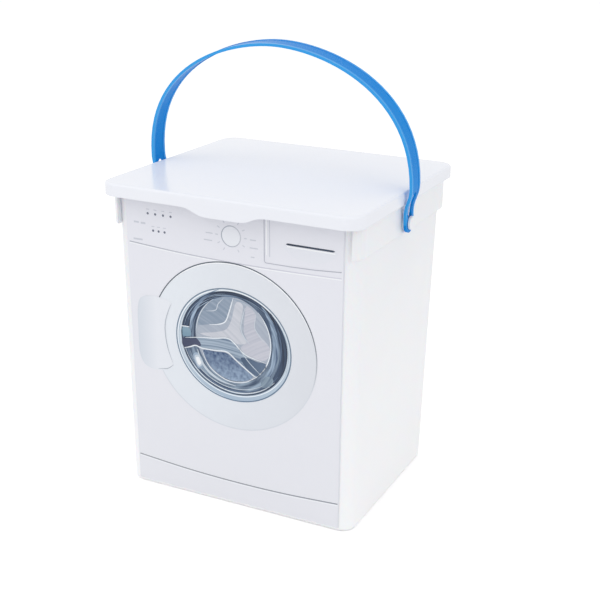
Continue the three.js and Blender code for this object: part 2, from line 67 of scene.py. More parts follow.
# The plastic's skin, with scales in lumps for each metre and lengths in metres
CLOUD_SCALE = 14.0
GRAIN_SCALE = 900.0
WAVES_PER_CLOUD = 3.0
SKIN_BUMP = 0.00004
BUMP_STRENGTH = 0.3
GRAIN_RELIEF = 0.35
WAVE_RELIEF = 1.6
GLOSS_SWING = 0.16
UNEVENNESS = 0.3
# CLIMB_TOP is the height where the painted shade of a climbing tone is full, in metres
CLIMB_TOP = 0.235
SCATTER_DEPTH = 0.002

# The printed streaks
STREAK_SCALE = 1.6
STREAK_LOW = 0.36
STREAK_HIGH = 0.64
FADE_TOP = 1.0
FADE_FOOT = -0.9

Colour = tuple[float, float, float]
Spot = tuple[float, float]


def srgb(red: float, green: float, blue: float) -> Colour:
    """Turns a colour in screen values of 0 to 255 into Blender's linear values.

    Args:
        red: The red value.
        green: The green value.
        blue: The blue value.

    Returns:
        The three linear values.
    """

    def linear(value: float) -> float:
        """Undoes the screen's curve for one value."""
        share = value / 255
        return share / 12.92 if share <= 0.04045 else ((share + 0.055) / 1.055) ** 2.4

    return linear(red), linear(green), linear(blue)


class Body(Enum):
    """The moving bodies of the container."""

    TUB = "tub_body"
    LID = "lid_body"
    HANDLE = "handle_body"


class Run(Enum):
    """Which way an ink's colour changes over the front."""

    UP = (0.0, 1.0)
    ACROSS = (1.0, 0.0)


class Sheet:
    """A node tree that is filled in with short calls."""

    def __init__(self, tree: bpy.types.NodeTree) -> None:
        """Keeps the tree.

        Args:
            tree: The tree of a material, a world or a shader node group.
        """
        self.tree = tree

    def add(self, kind: str, **settings: object) -> bpy.types.Node:
        """Adds a node.

        Args:
            kind: The node's type.
            settings: The node's own properties.

        Returns:
            The new node.
        """
        node = self.tree.nodes.new(kind)
        for name, value in settings.items():
            setattr(node, name, value)
        return node

    def feed(self, node: bpy.types.Node, **inputs: object) -> None:
        """Links or sets a node's inputs.

        Args:
            node: The node.
            inputs: Its input names, with _ for a space, and a socket to link or a value to set.
        """
        for name, value in inputs.items():
            socket = node.inputs[name.replace("_", " ")]
            if isinstance(value, bpy.types.NodeSocket):
                self.tree.links.new(value, socket)
            else:
                socket.default_value = value

    def calc(self, operation: str, *terms: object) -> bpy.types.NodeSocket:
        """Adds a Math node.

        Args:
            operation: The sum that it does.
            terms: Sockets or numbers.

        Returns:
            The node's result.
        """
        node = self.add("ShaderNodeMath", operation=operation)
        for slot, term in enumerate(terms):
            if isinstance(term, bpy.types.NodeSocket):
                self.tree.links.new(term, node.inputs[slot])
            else:
                node.inputs[slot].default_value = term
        return node.outputs[0]

    def noise(self, vector: bpy.types.NodeSocket, scale: object, detail: float) -> bpy.types.NodeSocket:
        """Adds a noise texture.

        Args:
            vector: Where it is read.
            scale: A socket or a number, in lumps for each metre.
            detail: How many finer layers it has.

        Returns:
            The noise's value, from 0 to 1.
        """
        node = self.add("ShaderNodeTexNoise")
        self.feed(node, Vector=vector, Scale=scale, Detail=detail)
        return node.outputs["Fac"]

    def blend(self, share: object, first: object, second: object) -> bpy.types.NodeSocket:
        """Mixes two colours.

        Args:
            share: How much of the second one there is.
            first: A colour or a socket.
            second: A colour or a socket.

        Returns:
            The mixed colour.
        """
        node = self.add("ShaderNodeMix", data_type="RGBA")
        colours = [socket for socket in node.inputs if socket.type == "RGBA"]
        ends = ((node.inputs[0], share), (colours[0], first), (colours[1], second))
        for socket, value in ends:
            if isinstance(value, bpy.types.NodeSocket):
                self.tree.links.new(value, socket)
            elif isinstance(value, tuple):
                socket.default_value = (*value, 1)
            else:
                socket.default_value = value
        return next(socket for socket in node.outputs if socket.type == "RGBA")


def new_group(name: str, inputs: dict[str, str], outputs: dict[str, str]) -> tuple[Sheet, bpy.types.Node]:
    """Starts a shader node group.

    Args:
        name: The group's name.
        inputs: Input names and socket types.
        outputs: Output names and socket types.

    Returns:
        The group's sheet and its input node.
    """
    tree = bpy.data.node_groups.new(name, "ShaderNodeTree")
    for label, kind in inputs.items():
        tree.interface.new_socket(label, in_out="INPUT", socket_type=kind)
    for label, kind in outputs.items():
        tree.interface.new_socket(label, in_out="OUTPUT", socket_type=kind)
    sheet = Sheet(tree)
    return sheet, sheet.add("NodeGroupInput")


FLOAT = "NodeSocketFloat"
COLOR = "NodeSocketColor"


def moulded_skin_group() -> bpy.types.NodeTree:
    """Makes the skin of moulded plastic: slow clouds of tone and gloss, flow lines and a fine grain.

    Its tone may also run from Colour at the foot to Shade at the top, as painted shade that darkens a
    moulding towards its top.

    Returns:
        The shader node group.
    """
    sheet, given = new_group(
        "moulded_skin",
        {"Colour": COLOR, "Shade": COLOR, "Roughness": FLOAT, "Cloud Scale": FLOAT, "Grain Scale": FLOAT,
         "Climb": FLOAT},
        {"Colour": COLOR, "Roughness": FLOAT, "Height": FLOAT},
    )
    place = sheet.add("ShaderNodeTexCoord").outputs["Object"]
    clouds = sheet.noise(place, given.outputs["Cloud Scale"], 2)
    grain = sheet.noise(place, given.outputs["Grain Scale"], 3)
    waves = sheet.noise(place, sheet.calc("MULTIPLY", given.outputs["Cloud Scale"], WAVES_PER_CLOUD), 1)
    axes = sheet.add("ShaderNodeSeparateXYZ")
    sheet.feed(axes, Vector=place)
    # Painted shade: the tone runs towards Shade as the height climbs to CLIMB_TOP, jittered by the clouds
    climb = sheet.add("ShaderNodeMapRange")
    sheet.feed(climb, Value=axes.outputs["Z"], From_Min=0.0, From_Max=CLIMB_TOP)
    shade_climb_with_clouds = sheet.calc("MULTIPLY_ADD", sheet.calc("SUBTRACT", clouds, 0.5), UNEVENNESS, climb.outputs[0])
    share = sheet.add("ShaderNodeMix", data_type="FLOAT")
    sheet.feed(share, Factor=given.outputs["Climb"], A=clouds, B=shade_climb_with_clouds)
    tone = sheet.blend(share.outputs[0], given.outputs["Colour"], given.outputs["Shade"])
    swing = sheet.calc("MULTIPLY", sheet.calc("SUBTRACT", sheet.calc("ADD", clouds, grain), 1.0), GLOSS_SWING)
    gloss = sheet.calc("ADD", given.outputs["Roughness"], swing)
    grains = sheet.calc("MULTIPLY", grain, GRAIN_RELIEF)
    height = sheet.calc("ADD", grains, sheet.calc("MULTIPLY", waves, WAVE_RELIEF))
    result = sheet.add("NodeGroupOutput")
    sheet.feed(result, Colour=tone, Roughness=gloss, Height=height)
    return sheet.tree


def ink_group() -> bpy.types.NodeTree:
    """Makes a printed tone that runs from one colour to another along the front, with a fine mottle.

    Returns:
        The shader node group.
    """
    sheet, given = new_group(
        "printed_tone",
        {"Start": COLOR, "End": COLOR, "Low": FLOAT, "High": FLOAT, "Across": FLOAT, "Up": FLOAT,
         "Mottle": FLOAT, "Mottle Scale": FLOAT},
        {"Colour": COLOR},
    )
    place = sheet.add("ShaderNodeTexCoord").outputs["Object"]
    axes = sheet.add("ShaderNodeSeparateXYZ")
    sheet.feed(axes, Vector=place)
    across = sheet.calc("MULTIPLY", axes.outputs["X"], given.outputs["Across"])
    up = sheet.calc("MULTIPLY", axes.outputs["Z"], given.outputs["Up"])
    along = sheet.calc("SUBTRACT", sheet.calc("ADD", across, up), given.outputs["Low"])
    span = sheet.calc("SUBTRACT", given.outputs["High"], given.outputs["Low"])
    spread = sheet.calc("SUBTRACT", sheet.noise(place, given.outputs["Mottle Scale"], 3), 0.5)
    share = sheet.add("ShaderNodeClamp")
    mottled = sheet.calc("MULTIPLY_ADD", spread, given.outputs["Mottle"], sheet.calc("DIVIDE", along, span))
    sheet.feed(share, Value=mottled)
    tone = sheet.blend(share.outputs[0], given.outputs["Start"], given.outputs["End"])
    sheet.feed(sheet.add("NodeGroupOutput"), Colour=tone)
    return sheet.tree


def ring_streak_group() -> bpy.types.NodeTree:
    """Makes a printed tone in fine streaks that run round a centre, as on polished steel.

    Returns:
        The shader node group.
    """
    sheet, given = new_group(
        "ring_streaks",
        {"Dark": COLOR, "Light": COLOR, "Centre X": FLOAT, "Centre Z": FLOAT, "Radius": FLOAT,
         "Fineness": FLOAT, "Even": FLOAT},
        {"Colour": COLOR},
    )
    place = sheet.add("ShaderNodeTexCoord").outputs["Object"]
    axes = sheet.add("ShaderNodeSeparateXYZ")
    sheet.feed(axes, Vector=place)
    radius = given.outputs["Radius"]
    x = sheet.calc("DIVIDE", sheet.calc("SUBTRACT", axes.outputs["X"], given.outputs["Centre X"]), radius)
    z = sheet.calc("DIVIDE", sheet.calc("SUBTRACT", axes.outputs["Z"], given.outputs["Centre Z"]), radius)
    reach = sheet.calc("SQRT", sheet.calc("ADD", sheet.calc("MULTIPLY", x, x), sheet.calc("MULTIPLY", z, z)))
    spun = sheet.add("ShaderNodeCombineXYZ")
    sheet.feed(spun, X=sheet.calc("DIVIDE", x, reach), Y=sheet.calc("DIVIDE", z, reach),
               Z=sheet.calc("MULTIPLY", reach, given.outputs["Fineness"]))
    streaks = sheet.noise(spun.outputs[0], STREAK_SCALE, 4)
    share = sheet.add("ShaderNodeMapRange")
    sheet.feed(share, Value=streaks, From_Min=STREAK_LOW, From_Max=STREAK_HIGH)
    lower = sheet.add("ShaderNodeMapRange")
    sheet.feed(lower, Value=z, From_Min=FADE_TOP, From_Max=FADE_FOOT)
    mixed = sheet.calc("MULTIPLY", share.outputs[0],
                       sheet.calc("MAXIMUM", lower.outputs[0], given.outputs["Even"]))
    sheet.feed(sheet.add("NodeGroupOutput"),
               Colour=sheet.blend(mixed, given.outputs["Dark"], given.outputs["Light"]))
    return sheet.tree


class Groups:
    """The shader node groups, each built once."""

    def __init__(self) -> None:
        """Builds them."""
        self.skin = moulded_skin_group()
        self.ink = ink_group()
        self.streaks = ring_streak_group()


@dataclass(frozen=True)
class Moulding:
    """A moulded plastic and the texture of its skin."""

    name: str
    colour: Colour
    shade: Colour
    roughness: float
    cloud_scale: float = CLOUD_SCALE
    grain_scale: float = GRAIN_SCALE
    bump: float = SKIN_BUMP
    bump_strength: float = BUMP_STRENGTH
    ior: float = 1.5
    specular: float = 0.5
    scatter: float = 0.0
    # climb: how far the tone runs from colour at the foot to shade at the top, which is painted shade
    climb: float = 0.0

    def build(self, groups: Groups) -> bpy.types.Material:
        """Makes the material.

        Args:
            groups: The shared shader node groups.

        Returns:
            The material.
        """
        material, sheet, shader = new_material(self.name)
        skin = sheet.add("ShaderNodeGroup", node_tree=groups.skin)
        sheet.feed(skin, Colour=(*self.colour, 1), Shade=(*self.shade, 1), Roughness=self.roughness,
                   Cloud_Scale=self.cloud_scale, Grain_Scale=self.grain_scale, Climb=self.climb)
        relief = sheet.add("ShaderNodeBump")
        sheet.feed(relief, Height=skin.outputs["Height"], Distance=self.bump, Strength=self.bump_strength)
        sheet.feed(shader, Base_Color=skin.outputs["Colour"], Roughness=skin.outputs["Roughness"],
                   Normal=relief.outputs["Normal"], IOR=self.ior, Specular_IOR_Level=self.specular,
                   Subsurface_Weight=self.scatter, Subsurface_Scale=SCATTER_DEPTH)
        return material


@dataclass(frozen=True)
class Ink:
    """A colour printed under the film's gloss, which may run into another one along the front."""

    name: str
    slot: str
    start: Colour
    end: Colour
    low: float = 0.0
    high: float = 230.0
    run: Run = Run.UP
    mottle: float = 0.1
    mottle_scale: float = 60.0
    roughness: float = 0.34

    def tone(self, sheet: Sheet, groups: Groups) -> bpy.types.NodeSocket:
        """Adds the nodes of the ink's colour.

        Args:
            sheet: The material's node sheet.
            groups: The shared shader node groups.

        Returns:
            The colour.
        """
        ink = sheet.add("ShaderNodeGroup", node_tree=groups.ink)
        across, up = self.run.value
        sheet.feed(ink, Start=(*self.start, 1), End=(*self.end, 1), Low=self.low * MM, High=self.high * MM,
                   Across=across, Up=up, Mottle=self.mottle, Mottle_Scale=self.mottle_scale)
        return ink.outputs["Colour"]

    def build(self, groups: Groups) -> bpy.types.Material:
        """Makes the material.

        Args:
            groups: The shared shader node groups.

        Returns:
            The material.
        """
        material, sheet, shader = new_material(self.name)
        skin = sheet.add("ShaderNodeGroup", node_tree=groups.skin)
        sheet.feed(skin, Roughness=self.roughness, Cloud_Scale=CLOUD_SCALE, Grain_Scale=GRAIN_SCALE)
        relief = sheet.add("ShaderNodeBump")
        sheet.feed(relief, Height=skin.outputs["Height"], Distance=SKIN_BUMP, Strength=BUMP_STRENGTH)
        sheet.feed(shader, Base_Color=self.tone(sheet, groups), Roughness=skin.outputs["Roughness"],
                   Normal=relief.outputs["Normal"])
        return material


@dataclass(frozen=True)
class StreakedInk(Ink):
    """An ink drawn in streaks that run round the porthole."""

    centre: Spot = (0.0, 126.0)
    radius: float = 40.0
    fineness: float = 9.0
    even: float = 0.0

    def tone(self, sheet: Sheet, groups: Groups) -> bpy.types.NodeSocket:
        """Adds the nodes of the ink's colour.

        Args:
            sheet: The material's node sheet.
            groups: The shared shader node groups.

        Returns:
            The colour.
        """
        ink = sheet.add("ShaderNodeGroup", node_tree=groups.streaks)
        sheet.feed(ink, Dark=(*self.start, 1), Light=(*self.end, 1), Centre_X=self.centre[0] * MM,
                   Centre_Z=self.centre[1] * MM, Radius=self.radius * MM, Fineness=self.fineness,
                   Even=self.even)
        return ink.outputs["Colour"]


def new_material(name: str) -> tuple[bpy.types.Material, Sheet, bpy.types.Node]:
    """Starts a material with a Principled shader.

    Args:
        name: The material's name.

    Returns:
        The material, its node sheet and its shader.
    """
    material = bpy.data.materials.new(name)
    material.use_nodes = True
    sheet = Sheet(material.node_tree)
    return material, sheet, material.node_tree.nodes["Principled BSDF"]


# Finishes of the mouldings
# The tub's shade colour, reached at its top through climb, is painted shade that darkens it towards the lid
WHITE_TUB = Moulding("tub_polypropylene", srgb(252, 252, 254), srgb(237, 238, 242), 0.38, scatter=0.15,
                     climb=1.0)
WHITE_LID = Moulding("lid_polypropylene", srgb(237, 239, 246), srgb(240, 242, 248), 0.18, cloud_scale=9.0,
                     bump=0.00003, bump_strength=0.2, specular=0.2)
BLUE_STRAP = Moulding("strap_polypropylene", srgb(8, 128, 213), srgb(22, 141, 222), 0.28, cloud_scale=30.0,
                      grain_scale=1400.0, specular=0.05)
# The raised edges' lighter blue is a painted highlight along the strap's edges; their higher gloss is the
# plastic's own
BLUE_RAIL_HIGHLIGHT = Moulding("strap_edge_painted_highlight", srgb(34, 152, 228), srgb(52, 164, 234), 0.24,
                     cloud_scale=30.0, grain_scale=1400.0, specular=0.35)

# Inks of the front
FILM = Ink("film_tone", "film", srgb(232, 233, 239), srgb(231, 232, 240), 0, 225, mottle=0.25,
           mottle_scale=18)
DOOR_FACE = Ink("door_face_tone", "film", srgb(230, 235, 242), srgb(221, 224, 231), -60, 60, Run.ACROSS, 0.4,
                25)
PANEL_LINE = Ink("panel_line_ink", "grey_line_print", srgb(178, 181, 192), srgb(214, 214, 226), -80, 60,
                 Run.ACROSS)
PLINTH_LINE = Ink("plinth_line_ink", "grey_line_print", srgb(150, 153, 162), srgb(142, 147, 158), -80, 80,
                  Run.ACROSS)
DRAWER_LINE = Ink("drawer_line_ink", "grey_line_print", srgb(186, 188, 200), srgb(176, 179, 191), 25, 80,
                  Run.ACROSS)
FAINT_LINE = Ink("faint_line_ink", "grey_line_print", srgb(202, 205, 215), srgb(205, 208, 218))
DOOR_LINE = Ink("door_line_ink", "grey_line_print", srgb(218, 222, 230), srgb(76, 86, 100), 104, 152)
PALE_LINE = Ink("pale_line_ink", "white_print", srgb(244, 246, 250), srgb(246, 248, 251))
DOT_INK = Ink("dot_ink", "grey_line_print", srgb(92, 98, 116), srgb(104, 110, 128))
KNOB_LINE = Ink("knob_line_ink", "grey_line_print", srgb(164, 171, 184), srgb(200, 203, 212), -8, 8,
                Run.ACROSS)
KNOB_FACE = Ink("knob_face_tone", "film", srgb(236, 239, 245), srgb(233, 235, 242), 198, 215)
GRIP_INK = Ink("grip_ink", "navy_print", srgb(36, 48, 68), srgb(58, 70, 90), 41, 77, Run.ACROSS)
GRIP_HOLLOW = Ink("grip_hollow_tone", "film", srgb(230, 232, 239), srgb(229, 231, 239), 195, 205)
HANDLE_FACE = Ink("door_handle_tone", "white_print", srgb(214, 220, 229), srgb(231, 234, 241), -78, -62,
                  Run.ACROSS)
HANDLE_LINE = Ink("door_handle_line_ink", "grey_line_print", srgb(172, 179, 190), srgb(184, 190, 199), 95,
                  152)
RIM_LINE = Ink("rim_line_ink", "grey_line_print", srgb(96, 122, 148), srgb(112, 130, 150), 84, 168)
RIM = Ink("rim_tone", "pale_blue_print", srgb(166, 186, 206), srgb(205, 216, 226), 84, 130)
RIM_INNER_LINE = Ink("rim_inner_line_ink", "pale_blue_print", srgb(150, 175, 200), srgb(160, 178, 196), 84,
                     168)
RIM_SHINE = Ink("rim_shine_ink", "white_print", srgb(232, 240, 248), srgb(236, 241, 247), 84, 168)
NAVY = StreakedInk("navy_streaks", "navy_print", srgb(22, 34, 56), srgb(60, 80, 108), fineness=16.0, even=1.0)
SLATE = StreakedInk("slate_streaks", "navy_print", srgb(50, 68, 96), srgb(96, 118, 146), fineness=16.0,
                    even=1.0)
STEEL_BLUE = StreakedInk("steel_blue_streaks", "blue_print", srgb(74, 96, 126), srgb(164, 184, 206),
                         fineness=15.0, even=1.0)
SEAL = StreakedInk("seal_streaks", "navy_print", srgb(52, 72, 100), srgb(158, 178, 198), even=0.35)
DRUM = StreakedInk("drum_streaks", "grey_print", srgb(163, 172, 188), srgb(176, 185, 198),
                   centre=(-60.0, 60.0), fineness=17.0, even=1.0)
DRUM_LIGHT = StreakedInk("drum_light_streaks", "grey_print", srgb(193, 197, 207), srgb(206, 208, 217),
                         centre=(-60.0, 60.0), fineness=19.0, even=1.0)
DRUM_LILAC = StreakedInk("drum_lilac_streaks", "grey_print", srgb(186, 189, 202), srgb(200, 201, 212),
                         centre=(60.0, 60.0), fineness=19.0, even=1.0)
DRUM_SHADE = StreakedInk("drum_shade_streaks", "grey_print", srgb(132, 148, 168), srgb(152, 165, 183),
                         centre=(-60.0, 60.0), fineness=17.0, even=1.0)
BAND = StreakedInk("band_streaks", "grey_print", srgb(92, 113, 140), srgb(164, 180, 197),
                   centre=(-10.0, 20.0), fineness=15.0, even=1.0)
WEDGE = Ink("wedge_tone", "navy_print", srgb(58, 80, 108), srgb(96, 116, 142), 4, 26, Run.ACROSS, 0.3, 160)
POOL = Ink("pool_tone", "blue_print", srgb(154, 175, 200), srgb(58, 82, 120), 92, 126, mottle=1.6,
           mottle_scale=380)
PATCH = Ink("dark_patch_tone", "navy_print", srgb(56, 64, 92), srgb(66, 74, 102), -41, -26, Run.ACROSS)
TEAL = Ink("teal_patch_tone", "pale_blue_print", srgb(112, 144, 166), srgb(134, 162, 180), 126, 134)
WHITE_LINE = Ink("white_line_ink", "white_print", srgb(226, 233, 240), srgb(232, 237, 243), 90, 165)
SOFT_WHITE = Ink("soft_white_ink", "white_print", srgb(196, 208, 220), srgb(206, 213, 222), 90, 165)
GLINT = Ink("glint_ink", "white_print", srgb(244, 246, 249), srgb(236, 240, 245), 103, 113)
GREENISH = StreakedInk("greenish_patch", "pale_blue_print", srgb(98, 118, 140), srgb(140, 158, 174),
                       centre=(0.0, 126.0), fineness=16.0, even=1.0)
HALO = Ink("glint_halo_ink", "white_print", srgb(140, 160, 184), srgb(160, 179, 200), 100, 116)


@dataclass(frozen=True)
class Oval:
    """An upright ellipse on the front, in millimetres."""

    x: float
    height: float
    half_width: float
    half_height: float

    def at(self, degrees: float, inset: float = 0.0) -> Spot:
        """Gives the spot at an angle from the +X side.

        Args:
            degrees: The angle.
            inset: How far the spot is drawn in.

        Returns:
            The spot.
        """
        angle = math.radians(degrees)
        return (self.x + (self.half_width - inset) * math.cos(angle),
                self.height + (self.half_height - inset) * math.sin(angle))

    def arc(self, start: float, end: float, steps: int,
            inset: Callable[[float], float] | float = 0.0) -> list[Spot]:
        """Lists spots between two angles.

        Args:
            start: The first angle, in degrees.
            end: The last angle.
            steps: How many steps there are.
            inset: How far the spots are drawn in, as a number or a function of the share along the arc.

        Returns:
            The spots.
        """
        spots = []
        for step in range(steps + 1):
            share = step / steps
            depth = inset(share) if callable(inset) else inset
            spots.append(self.at(start + (end - start) * share, depth))
        return spots


def through(points: Sequence[Spot], steps: int = 8, closed: bool = False) -> list[Spot]:
    """Draws a smooth line through given points.

    Args:
        points: The points.
        steps: How many steps lie between two points.
        closed: Whether the line comes back to its start.

    Returns:
        The spots of the line.
    """
    count = len(points)
    spans = count if closed else count - 1
    spots: list[Spot] = []
    for span in range(spans):
        near = [points[(span + shift) % count] if closed else points[min(max(span + shift, 0), count - 1)]
                for shift in (-1, 0, 1, 2)]
        for step in range(steps):
            t = step / steps
            weights = (-t + 2 * t * t - t ** 3, 2 - 5 * t * t + 3 * t ** 3,
                       t + 4 * t * t - 3 * t ** 3, -t * t + t ** 3)
            spots.append((sum(w * p[0] for w, p in zip(weights, near)) / 2,
                          sum(w * p[1] for w, p in zip(weights, near)) / 2))
    if not closed:
        spots.append(points[-1])
    return spots


def fading(values: Sequence[float]) -> Callable[[float], float]:
    """Makes a smooth function of a share from evenly spread values.

    Args:
        values: What the function gives at even steps from 0 to 1.

    Returns:
        The function.
    """

    def at(share: float) -> float:
        """Reads the value at a share."""
        place = share * (len(values) - 1)
        index = min(int(place), len(values) - 2)
        part = place - index
        ease = part * part * (3 - 2 * part)
        return values[index] + (values[index + 1] - values[index]) * ease

    return at


class FrontPlane:
    """The printed wall's plane: x across it, and height up it from the foot's front edge."""

    FILM_BOTTOM = 3.0

    def __init__(self, film: bpy.types.Object) -> None:
        """Finds the plane from the film.

        Args:
            film: The film's object in the fixed frame.
        """
        mesh = film.data
        self.normal = min((face.normal for face in mesh.polygons), key=lambda normal: normal.y).normalized()
        corners = [vertex.co.copy() for vertex in mesh.vertices]
        reach = max(corner.dot(self.normal) for corner in corners)
        outer = [corner for corner in corners if corner.dot(self.normal) > reach - 0.01 * MM]
        low = min(outer, key=lambda corner: corner.z)
        high = max(outer, key=lambda corner: corner.z)
        rise = Vector((0, high.y - low.y, high.z - low.z))
        self.up = rise.normalized()
        self.origin = Vector((0, low.y, low.z)) - self.up * self.FILM_BOTTOM * MM

    def place(self, spot: Spot, lift: float) -> Vector:
        """Gives the point over a spot of the front.

        Args:
            spot: The spot's x and height, in millimetres.
            lift: How far the point lies off the film, in millimetres.

        Returns:
            The point, in metres.
        """
        x, height = spot
        return self.origin + Vector((x, 0, 0)) * MM + self.up * height * MM + self.normal * lift * MM


def new_piece(name: str, body: Body, build: Callable[[bmesh.types.BMesh], None]) -> bpy.types.Object:
    """Makes a mesh piece that rides on a body.

    Args:
        name: The piece's name.
        body: The body that it moves with.
        build: Fills the empty mesh, in metres.

    Returns:
        The piece.
    """
    mesh = bpy.data.meshes.new(name)
    form = bmesh.new()
    build(form)
    bmesh.ops.recalc_face_normals(form, faces=form.faces)
    form.to_mesh(mesh)
    form.free()
    piece = bpy.data.objects.new(name, mesh)
    bpy.context.scene.collection.objects.link(piece)
    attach(piece, body.value)
    LOG.info("%s: %d faces", name, len(mesh.polygons))
    return piece


class Front:
    """The front's print, in thin layers of ink over the film."""

    LAYER = 0.03
    INK_DEPTH = 0.02
    BASE = 0.02

    def __init__(self, frame: dict, groups: Groups) -> None:
        """Finds the wall and keeps the inks.

        Args:
            frame: The fixed frame.
            groups: The shared shader node groups.
        """
        self.frame = frame
        self.groups = groups
        self.plane = FrontPlane(frame["nodes"]["front_film"])
        self.inks: dict[str, bpy.types.Material] = {}

    def dress(self, piece: bpy.types.Object, ink: Ink, nodes: Sequence[str]) -> None:
        """Gives a piece its ink and the nodes that it stands for.

        Args:
            piece: The piece.
            ink: Its ink.
            nodes: The nodes that it stands for.
        """
        if ink.name not in self.inks:
            self.inks[ink.name] = ink.build(self.groups)
        piece.data.materials.append(self.inks[ink.name])
        if nodes:
            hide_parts(*nodes)

    def strip(self, name: str, left: Sequence[Spot], right: Sequence[Spot], layer: int, ink: Ink,
              nodes: Sequence[str] = (), closed: bool = False) -> None:
        """Prints the strip between two lines.

        Args:
            name: The piece's name.
            left: One side's spots.
            right: The other side's spots, as many.
            layer: Which layer of ink it is.
            ink: Its ink.
            nodes: The nodes that it stands for.
            closed: Whether its ends meet.
        """
        low = self.BASE + layer * self.LAYER
        high = low + self.INK_DEPTH

        def build(form: bmesh.types.BMesh) -> None:
            """Adds a box section at each spot and joins them."""
            rings = [[form.verts.new(self.plane.place(spot, lift))
                      for spot, lift in ((a, low), (a, high), (b, high), (b, low))]
                     for a, b in zip(left, right)]
            spans = list(zip(rings, rings[1:]))
            if closed:
                spans.append((rings[-1], rings[0]))
            for near, far in spans:
                for side in range(4):
                    other = (side + 1) % 4
                    form.faces.new((near[side], near[other], far[other], far[side]))
            if not closed:
                form.faces.new(rings[0])
                form.faces.new(rings[-1])

        self.dress(new_piece(name, Body.TUB, build), ink, nodes)

    def field(self, name: str, outline: Sequence[Spot], layer: int, ink: Ink,
              nodes: Sequence[str] = ()) -> None:
        """Prints a field inside an outline.

        Args:
            name: The piece's name.
            outline: The outline's spots.
            layer: Which layer of ink it is.
            ink: Its ink.
            nodes: The nodes that it stands for.
        """
        low = self.BASE + layer * self.LAYER

        def build(form: bmesh.types.BMesh) -> None:
            """Adds the two faces and the wall between them."""
            loops = [[form.verts.new(self.plane.place(spot, lift)) for spot in outline]
                     for lift in (low, low + self.INK_DEPTH)]
            form.faces.new(loops[0])
            form.faces.new(loops[1])
            for index in range(len(outline)):
                after = (index + 1) % len(outline)
                form.faces.new((loops[0][index], loops[0][after], loops[1][after], loops[1][index]))

        self.dress(new_piece(name, Body.TUB, build), ink, nodes)

    def line(self, name: str, spots: Sequence[Spot], width: float, layer: int, ink: Ink,
             nodes: Sequence[str] = (), taper: float = 0.0) -> None:
        """Prints a line along spots, which may thin out towards its ends.

        Args:
            name: The piece's name.
            spots: The line's spots.
            width: Its width, in millimetres.
            layer: Which layer of ink it is.
            ink: Its ink.
            nodes: The nodes that it stands for.
            taper: The share of its length over which each end thins out.
        """
        left, right = [], []
        last = len(spots) - 1
        for index, (x, height) in enumerate(spots):
            before = spots[max(index - 1, 0)]
            after = spots[min(index + 1, last)]
            along = Vector((after[0] - before[0], after[1] - before[1])).normalized()
            end = min(index, last - index) / last
            half = width / 2 * (min(1.0, 0.2 + 0.8 * end / taper) if taper else 1.0)
            left.append((x - along.y * half, height + along.x * half))
            right.append((x + along.y * half, height - along.x * half))
        self.strip(name, left, right, layer, ink, nodes)

    def ring(self, name: str, oval: Oval, width: float, layer: int, ink: Ink,
             nodes: Sequence[str] = (), steps: int = 96) -> None:
        """Prints a ring of even width just inside an oval.

        Args:
            name: The piece's name.
            oval: The oval that its outer side follows.
            width: Its width, in millimetres.
            layer: Which layer of ink it is.
            ink: Its ink.
            nodes: The nodes that it stands for.
            steps: How many steps it goes round in.
        """
        outer = oval.arc(0, 360, steps)[:-1]
        inner = oval.arc(0, 360, steps, width)[:-1]
        self.strip(name, outer, inner, layer, ink, nodes, closed=True)

    def crescent(self, name: str, oval: Oval, angles: Spot, start_inset: float, widths: Sequence[float],
                 layer: int, ink: Ink) -> None:
        """Prints a crescent inside an oval.

        Args:
            name: The piece's name.
            oval: The oval that its outer side follows.
            angles: Its first and last angle, in degrees.
            start_inset: How far its outer side lies inside the oval.
            widths: Its width at even steps along it.
            layer: Which layer of ink it is.
            ink: Its ink.
        """
        width = fading(widths)
        outer = oval.arc(*angles, 48, start_inset)
        inner = oval.arc(*angles, 48, lambda share: start_inset + max(width(share), 0.05))
        self.strip(name, outer, inner, layer, ink)


